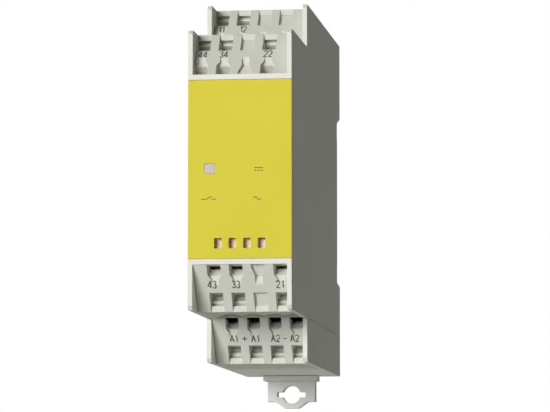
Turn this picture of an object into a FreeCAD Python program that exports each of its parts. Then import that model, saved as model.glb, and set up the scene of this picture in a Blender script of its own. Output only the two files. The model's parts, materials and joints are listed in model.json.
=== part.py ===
"""Safety relay module, 22.5 mm wide, for a 35 mm top-hat mounting rail.

A U-shaped front hood slides over a rail base. Two tiers of cage-clamp terminal blocks sit above and two
below a yellow front panel. Inside, an indicator board and a main board carry the supply parts and a sealed
relay capsule with forcibly guided contacts. A sprung clip in the base grips the rail.

Frame, in millimetres: +X across the module, +Y from the front panel back to the rail, +Z up.
Origin: the centre of the pad that the rail bears on.
"""
import FreeCAD
import Part

import math
import os

# ---------------------------------------------------------------- housing
module_width = 22.5
housing_depth = 97.0  # front face to rear face
tier_setback = 28.8  # front face back to the rear tiers' front edge
wall = 1.0  # side walls
floor_wall = 1.2  # top, bottom and rear walls of the base
seam = 0.12  # gap left at each joint line between mouldings
fit_gap = 0.1  # clearance between pieces that slide together on assembly
corner_chamfer = 0.9  # outer front corners of the side walls
seam_from_rear = 11.7  # rear face forward to the hood's rear edge
guide_tongue = 8.0  # base's tongue inside the hood's side walls
tongue_thickness = 0.9

# ---------------------------------------------------------------- rail seat
rail_height = 35.0
rail_thickness = 1.0
rail_lift = 1.3  # rail's centre line above the middle of the housing
recess_height = 38.5  # at the recess's floor
recess_depth = 5.8
recess_bevel_top, recess_bevel_bottom = 1.6, 0.6  # how far the recess opens towards its mouth
pad_height = 30.0
pad_proud = 0.4  # pad above the recess floor
hook_width = 14.0
hook_lip = 1.5  # lip's reach over the rail's flange
hook_lip_thickness = 2.2
hook_inset = 1.0  # hook's back in front of the rear face
rail_play = 0.25  # play between the rail's flange and hook, jaw or shoulder

# ---------------------------------------------------------------- rail clip
clip_width = 11.4
clip_thickness = 3.2
clip_play = 0.2
clip_travel = 4.5
clip_lip_ramp = 2.3
clip_shoulder = 2.25  # height of the shoulder that the rail's flange stands on
stop_bar_width = 12.9
stop_bar_height = 1.2
stop_bar_reach = 2.8  # bar forward of the clip's plate
tab_length = 4.9  # plate below the stop bar, down to its corners
tab_tip_drop = 1.55
tab_tip_width = 3.4
tab_corner_land = 1.8
eye_diameter = 4.3
eye_slot_length = 6.8
eye_slot_width = 1.3
eye_below_bar = 3.2
clip_lip_overlap = 1.3  # channel lips that keep the clip in, on each side
spring_wire = 0.5
spring_diameter = 2.9  # over the wire
spring_length = 10.5
spring_turns = 6
spring_seat_height = 1.5
spring_window_side = 0.5  # room beside the spring in the clip's window

# ---------------------------------------------------------------- front panel
panel_height = 38.8
panel_thickness = 1.2
panel_sink = 0.05  # panel's face behind the side walls' front edges
front_wall = 1.5  # hood's wall behind the panel
rim_height = 1.15  # shelf between the panel and a terminal block
peg_diameter = 2.0
peg_length = 1.3
peg_x, peg_z = 7.2, 12.5
power_window_x, power_window_z = -6.55, 0.1
power_window = 2.2
status_window_z = -16.0
status_window_pitch = 3.15
status_window_width, status_window_height = 1.6, 2.2
status_windows = 4
status_sink = 2.4  # light guide's ends behind the panel's face

# ---------------------------------------------------------------- terminal blocks
# Heights are measured from a block's inner edge, depths from its tier's front edge.
poles = 4
pole_pitch = 4.8
first_pole = 1.5  # block's side to the first pole's centre
block_length = 31.0
block_height = 9.75
face_rise = 7.5  # how far the sloped face leans back over its height
face_start = 0.3  # face behind the tier's front edge at its inner end
opening_width = 2.95
tool_height = 2.2  # screwdriver slot
tool_past_edge = 0.25  # slot past the inner edge, into a rear block's lip
tool_way = 0.7  # height of the way through to the clamp
ramp_length = 2.0  # slope from the facet down to the way through
ramp_taper = 0.8  # height over which the ramp narrows to the facet's width
facet_height = 1.95  # upright facet that leads the blade into the slot
facet_width = 1.65
facet_taper = 0.85
wire_low, wire_high = 5.8, 8.45  # wire funnel
funnel_depth = 2.4  # funnel's depths behind the ledge: at the wire hole,
funnel_ridge = 1.2  # at the ridge that turns the wire inwards,
funnel_corner = 2.1  # and under the ledge
ridge_low, ridge_high = 7.4, 7.75
wire_hole_width, wire_hole_height = 2.3, 0.9
blank_sink = 1.3  # depth of the recess that closes an unused pole
blank_taper_low = 0.7
chamber_width = 3.1
chamber_nose, chamber_start = 5.9, 12.2  # chamber's slanting front wall, at its two ends
chamber_slope_top = 7.0
chamber_high = 8.0
ledge_lip = 1.0
groove_radius = 6.0  # screwdriver grooves along the block's outer face
groove_depth = 0.85
groove_ends = (58.0, 70.0, 70.0, 58.0)  # where a rear tier's grooves fade out, from the housing's front
lip_length = 2.0  # a rear block's lip that fills the front block's grooves

# ---------------------------------------------------------------- clamps and current bars
spring_strip = 0.4
clamp_width = 2.3
clamp_window = 1.7
clamp_rise = 0.1  # spring's lowest run above the block's inner edge
clamp_leg_gap = 0.95  # leg's rear side behind the chamber's front wall
clamp_leg_end = 1.1  # leg past the bar, which closes the wire hole
clamp_loop_back = 20.0
clamp_loop_front = 15.5
clamp_bend = 0.5
bar_width = 1.4
bar_thickness = 0.8
bar_level = 5.0  # bar's inner face, from the block's inner edge
bar_front = 11.3
tail_past_board = 1.3

# ---------------------------------------------------------------- boards and what they carry
board_thickness = 1.6
board_inset = 8.6  # front face back to the indicator board
board_gap = 0.2  # play in front of and behind a board
hole_play = 0.1
rib_reach = 0.8
rib_thickness = 1.2
rib_height = 30.0
capsule_width, capsule_height, capsule_depth = 13.0, 40.0, 24.0
capsule_standoff = 0.3
capsule_bevel = 0.8
foot_height, foot_groove, groove_sink = 2.9, 0.3, 0.25  # groove between the cover and the foot
pip_diameter = 1.2
pin_width, pin_thickness = 1.0, 0.6
pin_rows_apart = 7.5
pin_pitch = 5.0
pins_a_row = 7
led_width, led_height, led_depth = 1.25, 2.0, 0.9
led_gap = 0.3
guide_bar = 1.0
wire_diameter = 0.7
link_wires = 4
link_pitch = 2.54
link_from_edge = 2.0
lead_diameter = 0.7
lead_past_board = 1.0
lead_bend = 1.1
resistor_diameter, resistor_length = 3.8, 9.6
diode_diameter, diode_length = 2.2, 5.0
diode_span = 10.0  # between the diode's two leads
capacitor_diameter, capacitor_length = 8.0, 13.0
crimp_low, crimp_high, crimp_depth = 1.6, 2.2, 0.3  # groove near the can's foot
varistor_diameter, varistor_thickness = 9.0, 3.4
varistor_bevel = 0.8
bridge_thickness = 3.3
bridge_margin_x, bridge_margin_z = 0.6, 1.4  # bridge's body past its leads

# ---------------------------------------------------------------- derived places
half_width = module_width / 2
inner_half = half_width - wall
middle = -rail_lift  # Z of the housing's middle
front = recess_depth - housing_depth  # Y of the front face
rear = recess_depth
tier = front + tier_setback
hood_rear = rear - seam_from_rear
block_width = 2 * (inner_half - fit_gap)
block_front_inner = panel_height / 2 + rim_height  # front tier's inner edge, from the middle
block_rear_inner = block_front_inner + block_height  # rear tier's inner edge
hood_height = 2 * block_rear_inner  # over the two front tiers
base_height = hood_height + 2 * block_height  # over all four tiers
groove_start = face_start + face_rise + ledge_lip
board_front = tier + block_length + board_gap  # Y of the main board's front face
indicator_front = front + board_inset
recess_floor = -pad_proud
clip_rear = rail_thickness + rail_play + clip_thickness
clip_front = clip_rear - clip_thickness
channel_rear = clip_rear + clip_play
base_bottom = middle - base_height / 2
base_top = middle + base_height / 2
bar_top = base_bottom - fit_gap
spring_foot = base_bottom + 5.2
spring_middle = clip_rear - clip_thickness / 2

TIERS = ("upper_front", "upper_rear", "lower_front", "lower_rear")
USED_POLES = {
    "upper_front": (0, 1, 3),
    "upper_rear": (0, 1),
    "lower_front": (0, 2, 3),
    "lower_rear": (0, 1, 2, 3),
}


# ---------------------------------------------------------------- small helpers
def vec(x, y, z):
    return FreeCAD.Vector(x, y, z)


def box(x0, x1, y0, y1, z0, z1):
    """A block between two corners."""
    return Part.makeBox(x1 - x0, y1 - y0, z1 - z0, vec(x0, y0, z0))


def face_of(points):
    return Part.Face(Part.makePolygon(points + points[:1]))


def prism_x(outline, x0, x1):
    """An outline of (y, z) points, extruded from x0 to x1."""
    return face_of([vec(x0, y, z) for y, z in outline]).extrude(vec(x1 - x0, 0, 0))


def prism_y(outline, y0, y1):
    """An outline of (x, z) points, extruded from y0 to y1."""
    return face_of([vec(x, y0, z) for x, z in outline]).extrude(vec(0, y1 - y0, 0))


def rod_y(x, z, diameter, y0, y1):
    return Part.makeCylinder(diameter / 2, y1 - y0, vec(x, y0, z), vec(0, 1, 0))


def joined(shapes):
    """The union of several overlapping or touching shapes, as one clean solid."""
    whole = shapes[0].fuse(list(shapes[1:])) if len(shapes) > 1 else shapes[0]
    return whole.removeSplitter()


def without(shape, cutters):
    return shape.cut(list(cutters)).removeSplitter()


def turned(shape):
    """The same moulding turned upside down about the housing's middle line."""
    flipped = shape.copy()
    flipped.rotate(vec(0, 0, middle), vec(0, 1, 0), 180)
    return flipped


def save(name, solids):
    """Writes one node's solids to its STEP file."""
    solids = solids if isinstance(solids, list) else [solids]
    flat = [s for shape in solids for s in shape.Solids]
    shape = flat[0] if len(flat) == 1 else Part.makeCompound(flat)
    shape.exportStep(os.path.join("parts", name + ".step"))


# ---------------------------------------------------------------- terminal blocks
def tier_place(tier_name):
    """Y of the tier's front edge and its blocks' inner edge, measured from the housing's middle."""
    if tier_name.endswith("front"):
        return front, block_front_inner
    return tier, block_rear_inner


def pole_x(pole):
    return -block_width / 2 + first_pole + pole * pole_pitch


def face_depth(height):
    """How far behind the front edge the sloped face lies, at a height above the block's inner edge."""
    return face_start + face_rise * height / block_height


def pole_sides(pole, width):
    """X limits of a pole's opening; the first pole opens into the block's side, which the wall closes."""
    x = pole_x(pole)
    left = x - width / 2
    if pole == 0:
        left = -block_width / 2 - wall / 2
    return left, x + width / 2


def tapered(x, z, sides, full, narrow, top):
    """Outline (x, z) that is full width at its inner end and a facet's width from narrow up to top."""
    left, right = sides
    half = facet_width / 2
    low = z - tool_past_edge
    outline = [(left, low), (right, low), (right, z + full), (x + half, z + narrow)]
    if top > narrow:
        outline += [(x + half, z + top), (x - half, z + top)]
    return outline + [(x - half, z + narrow), (left, z + full)]


def blade_slot(y, z, pole):
    """Screwdriver slot: an upright facet, a ramp behind it and the way through to the clamp."""
    x = pole_x(pole)
    sides = pole_sides(pole, opening_width)
    facet_top = tool_height + facet_height
    facet_back = y + face_depth(facet_top)
    mouth = prism_y(tapered(x, z, sides, tool_height, tool_height + facet_taper, facet_top),
                    y - 1, facet_back)
    funnel = prism_y(tapered(x, z, sides, tool_height - ramp_taper, tool_height, tool_height),
                     facet_back, y + chamber_start)
    ramp_end = facet_back + ramp_length
    way_end = y + chamber_nose + 1
    low = z - tool_past_edge
    ramp = prism_x([(facet_back, low), (facet_back, z + tool_height), (ramp_end, z + tool_way),
                    (way_end, z + tool_way), (way_end, low)], *sides)
    return [mouth, ramp.common(funnel)]


def wire_funnel(y, z, pole):
    """Square wire entry: an upright ledge, a ridge that turns the wire inwards, and the wire hole."""
    sides = pole_sides(pole, opening_width)
    x = pole_x(pole)
    ledge = y + face_depth(block_height)
    back = ledge + funnel_depth
    hole_low = z + wire_low + hole_play
    hole_high = hole_low + wire_hole_height
    pocket = [
        (y, z + wire_low), (back, z + wire_low), (back, hole_high),
        (ledge + funnel_ridge, z + ridge_low), (ledge + funnel_ridge, z + ridge_high),
        (ledge + funnel_corner, z + wire_high), (ledge, z + wire_high),
        (ledge, z + block_height + 1), (y, z + block_height + 1),
    ]
    hole = box(x - wire_hole_width / 2, x + wire_hole_width / 2, back, y + chamber_start,
               hole_low, hole_high)
    return [prism_x(pocket, *sides), hole]


def clamp_chamber(y, z, pole):
    """Room for the clamp, open on the block's inner side and at its rear; its front wall slants."""
    rear_end = y + block_length + 1
    outline = [
        (y + chamber_nose, z - 1), (y + chamber_nose, z), (y + chamber_start, z + chamber_slope_top),
        (y + chamber_start, z + chamber_high), (rear_end, z + chamber_high), (rear_end, z - 1),
    ]
    return [prism_x(outline, *pole_sides(pole, chamber_width))]


def blank_recess(y, z, pole):
    """The shallow recesses that close an unused pole; their floors run parallel to the sloped face."""
    sides = pole_sides(pole, opening_width)
    x = pole_x(pole)
    ledge = y + face_depth(block_height)
    facet_top = tool_height + facet_height

    def strip(low, high):
        floor = [(y + face_depth(h) + blank_sink, z + h) for h in (low, high)]
        return prism_x([(y - 1, z + low)] + floor + [(y - 1, z + high)], *sides)

    outline = tapered(x, z, sides, blank_taper_low, tool_height, facet_top)
    mouth = prism_y(outline, y - 1, y + block_length)
    facet = prism_y(outline, y - 1, y + face_depth(facet_top))
    facet = facet.common(box(-half_width, half_width, y - 1, y + block_length,
                             z + tool_height, z + facet_top))
    top = box(*sides, y, ledge, z + wire_high, z + block_height + 1)
    return [strip(-tool_past_edge, tool_height).common(mouth), facet, strip(wire_low, wire_high), top]


def groove_rod(pole, z, radius, y_range, slope, z_top):
    """Rod along a pole, sunk a groove's depth into the face at z and rising out of it by its slope."""
    y0, y1 = y_range
    lead = groove_depth
    first = vec(pole_x(pole), y0 - lead, z + groove_radius - groove_depth - lead * slope)
    rod = Part.makeCylinder(radius, 2 * (y1 - y0), first, vec(0, 1, slope))
    edge = block_width / 2
    return rod.common(box(-edge, edge, y0, y1, z - 2 * groove_depth, z_top))


def front_grooves(z):
    """Screwdriver grooves along a front block, up to the slots of the tier behind it."""
    y_range = (front + groove_start, front + block_length + 1)
    return [groove_rod(pole, z, groove_radius, y_range, 0, z + groove_radius) for pole in range(poles)]


def rear_grooves(z):
    """Grooves along a rear block, which fade out towards the rail."""
    y0 = tier + groove_start
    rods = []
    for pole, end in enumerate(groove_ends):
        y1 = front + end
        rods.append(groove_rod(pole, z, groove_radius, (y0, y1), groove_depth / (y1 - y0),
                               z + groove_radius))
    return rods


def rear_lip(z):
    """Scalloped lip on a rear block's inner edge; it fills the ends of the front block's grooves."""
    y_range = (tier + face_start, tier + lip_length)
    return [groove_rod(pole, z, groove_radius - fit_gap, y_range, 0, z) for pole in range(poles)]


def block_outline(y, z):
    return [
        (y + face_start, z), (y + face_depth(block_height), z + block_height),
        (y + block_length, z + block_height), (y + block_length, z),
    ]


def upper_block(tier_name, used):
    """A terminal block as it sits above the middle; the lower ones are this one turned over."""
    y, offset = tier_place(tier_name)
    z = middle + offset
    body = prism_x(block_outline(y, z), -block_width / 2, block_width / 2)
    if tier_name.endswith("rear"):
        body = joined([body] + rear_lip(z))
        cuts = rear_grooves(z + block_height)
    else:
        cuts = front_grooves(z + block_height)
    for pole in range(poles):
        if pole in used:
            cuts += blade_slot(y, z, pole) + wire_funnel(y, z, pole) + clamp_chamber(y, z, pole)
        else:
            cuts += blank_recess(y, z, pole)
    return without(body, cuts)


# ---------------------------------------------------------------- clamps and bars
def rounded_path(points, radius):
    """A wire through the points, with an arc at each corner."""
    edges = []
    last = points[0]
    for before, corner, after in zip(points, points[1:], points[2:]):
        into = (before - corner).normalize()
        out = (after - corner).normalize()
        half_turn = into.getAngle(out) / 2
        reach = radius / math.tan(half_turn)
        bisector = (into + out).normalize()
        centre = corner + bisector * (radius / math.sin(half_turn))
        start, end = corner + into * reach, corner + out * reach
        edges.append(Part.LineSegment(last, start).toShape())
        edges.append(Part.Arc(start, centre - bisector * radius, end).toShape())
        last = end
    edges.append(Part.LineSegment(last, points[-1]).toShape())
    return Part.Wire(edges)


def strip_solid(outline, radius, x0, x1):
    """A sheet strip bent along (y, z) points, thickened towards the loop's outside."""
    path = rounded_path([vec(x0, y, z) for y, z in outline], radius)
    ribbon = path.makeOffset2D(spring_strip, 0, True, True)
    return ribbon.extrude(vec(x1 - x0, 0, 0)).Solids[0]


def clamp_spring(tier_name, pole):
    """Cage spring: a loop under the bar whose slanting front leg has a window for the bar and the wire."""
    y, offset = tier_place(tier_name)
    z = middle + offset
    x = pole_x(pole)
    slant = (chamber_start - chamber_nose) / chamber_slope_top

    def leg(height):
        return y + chamber_nose + slant * height + clamp_leg_gap

    low = clamp_rise + spring_strip
    under_bar = bar_level - fit_gap - spring_strip
    leg_end = bar_level + bar_thickness + clamp_leg_end
    path = [
        (leg(leg_end), z + leg_end), (leg(low), z + low), (y + clamp_loop_back, z + low),
        (y + clamp_loop_back, z + under_bar), (y + clamp_loop_front, z + under_bar),
    ]
    spring = strip_solid(path, clamp_bend, x - clamp_width / 2, x + clamp_width / 2)
    window = box(x - clamp_window / 2, x + clamp_window / 2, leg(under_bar) - 1, leg(leg_end),
                 z + bar_level - fit_gap, z + bar_level + bar_thickness + fit_gap)
    return without(spring, [window])


def current_bar(tier_name, pole):
    """Bar from the clamp back to the main board, with its tail through the board."""
    y, offset = tier_place(tier_name)
    z = middle + offset + bar_level
    x = pole_x(pole)
    return box(x - bar_width / 2, x + bar_width / 2, y + bar_front,
               board_front + board_thickness + tail_past_board, z, z + bar_thickness)


def for_tier(tier_name, make):
    """What make(name, pole) gives for each of the tier's used poles, turned over for a lower tier."""
    upper_name = tier_name.replace("lower", "upper")
    solids = [make(upper_name, pole) for pole in USED_POLES[tier_name]]
    return [turned(s) for s in solids] if tier_name.startswith("lower") else solids


# ---------------------------------------------------------------- housing
def side_walls(outline):
    """The same wall outline at both sides."""
    left = prism_x(outline, -half_width, -inner_half)
    right = prism_x(outline, inner_half, half_width)
    return [left, right]


def board_ribs(y_front):
    """Upright ribs that hold a board's two edges, in front of it and behind it."""
    ribs = []
    for side in (-1, 1):
        x0, x1 = sorted((side * (inner_half - rib_reach), side * (inner_half + wall / 2)))
        for y0 in (y_front - board_gap - rib_thickness, y_front + board_thickness + board_gap):
            ribs.append(box(x0, x1, y0, y0 + rib_thickness, middle - rib_height / 2,
                            middle + rib_height / 2))
    return ribs


def status_xs():
    first = -status_window_pitch * (status_windows - 1) / 2
    return [first + k * status_window_pitch for k in range(status_windows)]


def window_cutters(y0, y1, grow):
    """Cutters for the power window and the row of status windows, grown by a clearance."""
    cutters = []
    half = power_window / 2 + grow
    z = middle + power_window_z
    cutters.append(box(power_window_x - half, power_window_x + half, y0, y1, z - half, z + half))
    half_w, half_h = status_window_width / 2 + grow, status_window_height / 2 + grow
    z = middle + status_window_z
    for x in status_xs():
        cutters.append(box(x - half_w, x + half_w, y0, y1, z - half_h, z + half_h))
    return cutters


def peg_places():
    return [(peg_x, middle + peg_z), (-peg_x, middle + peg_z),
            (peg_x, middle - peg_z), (-peg_x, middle - peg_z)]


def front_hood():
    top, low = middle + hood_height / 2, middle - hood_height / 2
    panel_half = panel_height / 2
    cut = corner_chamfer
    outline = [
        (front + cut, top), (hood_rear, top), (hood_rear, low), (front + cut, low), (front, low + cut),
        (front, middle - panel_half), (front + panel_thickness, middle - panel_half),
        (front + panel_thickness, middle + panel_half), (front, middle + panel_half), (front, top - cut),
    ]
    pieces = side_walls(outline)
    edge = inner_half + wall / 2
    wall_y = front + panel_thickness
    pieces.append(box(-edge, edge, wall_y, wall_y + front_wall, middle - panel_half - rim_height,
                      middle + panel_half + rim_height))
    for side in (-1, 1):
        z0, z1 = sorted((middle + side * panel_half, middle + side * (panel_half + rim_height)))
        pieces.append(box(-edge, edge, front, front + block_length, z0, z1))
    pieces += board_ribs(indicator_front) + board_ribs(board_front)
    hood = joined(pieces)
    cuts = window_cutters(wall_y - 1, wall_y + front_wall + 1, fit_gap)
    cuts += [rod_y(x, z, peg_diameter + 2 * fit_gap, wall_y - 1, wall_y + front_wall + 1)
             for x, z in peg_places()]
    return without(hood, cuts)


def base_profile():
    """Outer (y, z) outline of the base's rear part with the rail recess and its bevelled ends."""
    half = recess_height / 2
    return [
        (tier, base_top), (rear, base_top), (rear, half + recess_bevel_top), (recess_floor, half),
        (recess_floor, -half), (rear, -half - recess_bevel_bottom), (rear, base_bottom),
        (tier, base_bottom),
    ]


def base_hollow():
    """Inner (y, z) outline: everything inside the base's walls, open towards the front."""
    high = recess_height / 2 + recess_bevel_top + floor_wall
    low = -recess_height / 2 - recess_bevel_bottom - floor_wall
    inner_rear = rear - floor_wall
    inner_floor = recess_floor - floor_wall
    front_open = tier - 1
    return [
        (front_open, base_top - floor_wall), (inner_rear, base_top - floor_wall), (inner_rear, high),
        (inner_floor, high), (inner_floor, low), (inner_rear, low),
        (inner_rear, base_bottom + floor_wall), (front_open, base_bottom + floor_wall),
    ]


def clip_channel():
    """Walls round the clip's channel, and the space they leave for the clip."""
    half = clip_width / 2 + clip_play
    lip_half = half - clip_lip_overlap
    top = -recess_height / 2
    shoulder_low = -rail_height / 2 - rail_play - clip_shoulder - clip_travel - clip_play
    shoulder_front = -rail_play
    plate_front = clip_front - clip_play
    x = half + floor_wall
    walls = box(-x, x, plate_front - floor_wall, rear, base_bottom, top)
    head_walls = box(-x, x, shoulder_front - clip_play - floor_wall, plate_front,
                     shoulder_low - floor_wall, top)
    space = [
        box(-half, half, plate_front, channel_rear, base_bottom - 1, top + 1),
        box(-half, half, shoulder_front - clip_play, channel_rear, shoulder_low, top + 1),
        box(-lip_half, lip_half, channel_rear - 1, rear + 1, base_bottom - 1, top + 1),
    ]
    return [walls, head_walls], space


def spring_seat():
    """Tooth on the channel's front wall that the clip's spring stands on."""
    half = spring_diameter / 2
    return box(-half, half, clip_front - clip_play - 0.1, clip_rear - clip_play,
               spring_foot - spring_seat_height, spring_foot)


def rail_hook():
    """Fixed hook over the rail's upper flange."""
    flange_end = rail_height / 2 + rail_play
    lip_y = rail_thickness + rail_play
    outline = [
        (recess_floor - 0.1, recess_height / 2 + 0.1), (recess_floor - 0.1, flange_end),
        (lip_y, flange_end), (lip_y, flange_end - hook_lip),
        (lip_y + hook_lip_thickness / 2, flange_end - hook_lip),
        (lip_y + hook_lip_thickness, flange_end),
        (rear - hook_inset, recess_height / 2 + recess_bevel_top),
    ]
    return prism_x(outline, -hook_width / 2, hook_width / 2)


def rail_base():
    outer = prism_x(base_profile(), -half_width, half_width)
    hollow = prism_x(base_hollow(), -inner_half, inner_half)
    hood_space = box(-half_width - 1, half_width + 1, tier - 1, hood_rear + seam,
                     middle - hood_height / 2 - seam, middle + hood_height / 2 + seam)
    block_space = box(-inner_half, inner_half, tier - 1, tier + block_length + seam,
                      base_bottom - 1, base_top + 1)
    shell = without(outer, [hollow, hood_space, block_space])
    cut = corner_chamfer
    corners = [
        prism_x([(tier - 1, z - side), (tier - 1, z - side * (cut + 1)), (tier, z - side * cut),
                 (tier + cut, z), (tier + cut, z + side), (tier - 1, z + side)],
                -half_width - 1, half_width + 1)
        for z, side in ((base_top, 1), (base_bottom, -1))
    ]
    shell = without(shell, corners)
    pad = box(-half_width, half_width, recess_floor - 0.2, 0, -pad_height / 2, pad_height / 2)
    channel_walls, channel_space = clip_channel()
    inside = prism_x(base_profile(), -half_width, half_width)
    pieces = [shell, pad, rail_hook()] + [w.common(inside) for w in channel_walls]
    for side in (-1, 1):
        x0, x1 = sorted((side * (inner_half - fit_gap - tongue_thickness), side * (inner_half - fit_gap)))
        pieces.append(box(x0, x1, hood_rear - guide_tongue, recess_floor - 0.5,
                          middle - rib_height / 2, middle + rib_height / 2))
    body = without(joined(pieces), channel_space)
    grooves = rear_grooves(base_top)
    body = without(body, grooves + [turned(g) for g in grooves])
    return joined([body, spring_seat()])


# ---------------------------------------------------------------- clip and spring
def rail_clip():
    half = clip_width / 2
    jaw_top = -rail_height / 2 - rail_play + hook_lip
    flange = -rail_height / 2 - rail_play
    shoulder_front = -rail_play
    shoulder_low = flange - clip_shoulder
    profile = [
        (clip_front, jaw_top), (clip_rear - clip_lip_ramp, jaw_top), (clip_rear, jaw_top - clip_lip_ramp),
        (clip_rear, bar_top), (clip_front, bar_top), (clip_front, shoulder_low),
        (shoulder_front, shoulder_low), (shoulder_front, flange), (clip_front, flange),
    ]
    head = prism_x(profile, -half, half)
    bar = box(-stop_bar_width / 2, stop_bar_width / 2, clip_front - stop_bar_reach, clip_rear,
              bar_top - stop_bar_height, bar_top)
    corner = bar_top - stop_bar_height - tab_length
    tip, tip_half = corner - tab_tip_drop, tab_tip_width / 2
    tab_outline = [
        (-half, bar_top - 0.5), (half, bar_top - 0.5), (half, corner), (half - tab_corner_land, corner),
        (tip_half, tip), (-tip_half, tip), (tab_corner_land - half, corner), (-half, corner),
    ]
    tab = prism_y(tab_outline, clip_front, clip_rear)
    body = joined([head, bar, tab])
    eye_z = bar_top - stop_bar_height - eye_below_bar
    eye = rod_y(0, eye_z, eye_diameter, clip_front - 1, clip_rear + 1)
    slot = box(-eye_slot_length / 2, eye_slot_length / 2, clip_front - 1, clip_rear + 1,
               eye_z - eye_slot_width / 2, eye_z + eye_slot_width / 2)
    window_half = spring_diameter / 2 + spring_window_side
    window = box(-window_half, window_half, clip_front - 1, clip_rear + 1,
                 spring_foot - spring_seat_height - clip_play, spring_foot + spring_length)
    return without(body, [eye, slot, window])


def six_sided(centre, width):
    """Hexagon in an X-Z plane: the section of thin wires, which keeps them light."""
    points = []
    for corner in range(7):
        angle = corner * math.pi / 3
        points.append(centre + vec(math.cos(angle), 0, math.sin(angle)) * (width / 2))
    return Part.makePolygon(points)


def clip_spring():
    """Compression spring between the seat in the base and the top of the clip's window."""
    radius = (spring_diameter - spring_wire) / 2
    height = spring_length - spring_wire - 0.1
    helix = Part.makeHelix(height / spring_turns, height, radius)
    profile = six_sided(vec(radius, 0, 0), spring_wire)
    coil = Part.Wire(helix).makePipeShell([profile], True, True)
    coil.translate(vec(0, spring_middle, spring_foot + spring_wire / 2 + 0.05))
    return coil


# ---------------------------------------------------------------- panel and light guides
def front_panel():
    half = panel_height / 2
    plate = box(-half_width, half_width, front + panel_sink, front + panel_thickness,
                middle - half + seam / 2, middle + half - seam / 2)
    plate = without(plate, window_cutters(front - 1, front + panel_thickness + 1, 0))
    pegs = [rod_y(x, z, peg_diameter, front + panel_thickness - 0.2, front + panel_thickness + peg_length)
            for x, z in peg_places()]
    return joined([plate] + pegs)


def guide_back():
    """Y of the light guides' rear ends, just in front of the LEDs."""
    return indicator_front - led_depth - led_gap


def power_light_guide():
    half = power_window / 2 - fit_gap / 2
    z = middle + power_window_z
    y_bar = front + panel_thickness + front_wall
    stem = box(power_window_x - half, power_window_x + half, front + 0.1, guide_back(),
               z - half, z + half)
    wide = half + 0.6
    flange = box(power_window_x - wide, power_window_x + wide, y_bar, y_bar + guide_bar,
                 z - wide, z + wide)
    return joined([stem, flange])


def status_light_guide():
    half_w, half_h = status_window_width / 2 - fit_gap / 2, status_window_height / 2 - fit_gap / 2
    z = middle + status_window_z
    y_bar = front + panel_thickness + front_wall
    stems = [box(x - half_w, x + half_w, front + status_sink, guide_back(), z - half_h, z + half_h)
             for x in status_xs()]
    reach = status_xs()[-1] + half_w + 0.5
    bar = box(-reach, reach, y_bar, y_bar + guide_bar, z - half_h, z + half_h + 0.4)
    return joined(stems + [bar])


def led(x, z):
    return box(x - led_width / 2, x + led_width / 2, indicator_front - led_depth, indicator_front,
               z - led_height / 2, z + led_height / 2)


# ---------------------------------------------------------------- boards
def pin_places():
    """Where the relay capsule's pins stand, in two rows."""
    first = -pin_pitch * (pins_a_row - 1) / 2
    return [(side * pin_rows_apart / 2, middle + first + k * pin_pitch)
            for side in (-1, 1) for k in range(pins_a_row)]


def link_places():
    x = inner_half - link_from_edge
    first = middle + 4.0
    return [(x, first + k * link_pitch) for k in range(link_wires)]


def supply_leads():
    """Lead places on the indicator board, for each part behind it."""
    return {
        "smoothing_capacitor": [(3.2 - 1.75, middle + 9.5), (3.2 + 1.75, middle + 9.5)],
        "bridge_rectifier": [(-6.1, middle - 12.0), (-1.0, middle - 12.0),
                             (-6.1, middle - 6.9), (-1.0, middle - 6.9)],
        "surge_varistor": [(4.6, middle - 8.0 - 2.5), (4.6, middle - 8.0 + 2.5)],
        "dropping_resistors": [(-7.6, middle + 2.5), (-7.6, middle + 16.5),
                               (-2.9, middle + 2.5), (-2.9, middle + 16.5)],
    }


def diode_leads():
    """The diode stands midway between the capsule and the ribs."""
    x = (capsule_width / 2 + inner_half - rib_reach) / 2
    return [(-x, middle - diode_span / 2), (-x, middle + diode_span / 2)]


def main_board():
    half = block_width / 2
    reach = base_height / 2 - floor_wall - fit_gap
    plate = box(-half, half, board_front, board_front + board_thickness, middle - reach, middle + reach)
    y0, y1 = board_front - 1, board_front + board_thickness + 1
    half_x, half_z = pin_thickness / 2 + hole_play, pin_width / 2 + hole_play
    cuts = [box(x - half_x, x + half_x, y0, y1, z - half_z, z + half_z) for x, z in pin_places()]
    cuts += [rod_y(x, z, wire_diameter + 2 * hole_play, y0, y1) for x, z in link_places()]
    cuts += [rod_y(x, z, lead_diameter + 2 * hole_play, y0, y1) for x, z in diode_leads()]
    for tier_name in TIERS:
        for bar in for_tier(tier_name, current_bar):
            b = bar.BoundBox
            cuts.append(box(b.XMin - hole_play, b.XMax + hole_play, y0, y1,
                            b.ZMin - hole_play, b.ZMax + hole_play))
    return without(plate, cuts)


def indicator_board():
    half = block_width / 2
    reach = panel_height / 2 - 2 * fit_gap
    plate = box(-half, half, indicator_front, indicator_front + board_thickness,
                middle - reach, middle + reach)
    y0, y1 = indicator_front - 1, indicator_front + board_thickness + 1
    cuts = [rod_y(x, z, wire_diameter + 2 * hole_play, y0, y1) for x, z in link_places()]
    for places in supply_leads().values():
        cuts += [rod_y(x, z, lead_diameter + 2 * hole_play, y0, y1) for x, z in places]
    return without(plate, cuts)


def board_link_wires():
    y0 = indicator_front - lead_past_board
    y1 = board_front + board_thickness + lead_past_board
    return [rod_y(x, z, wire_diameter, y0, y1) for x, z in link_places()]


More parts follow.
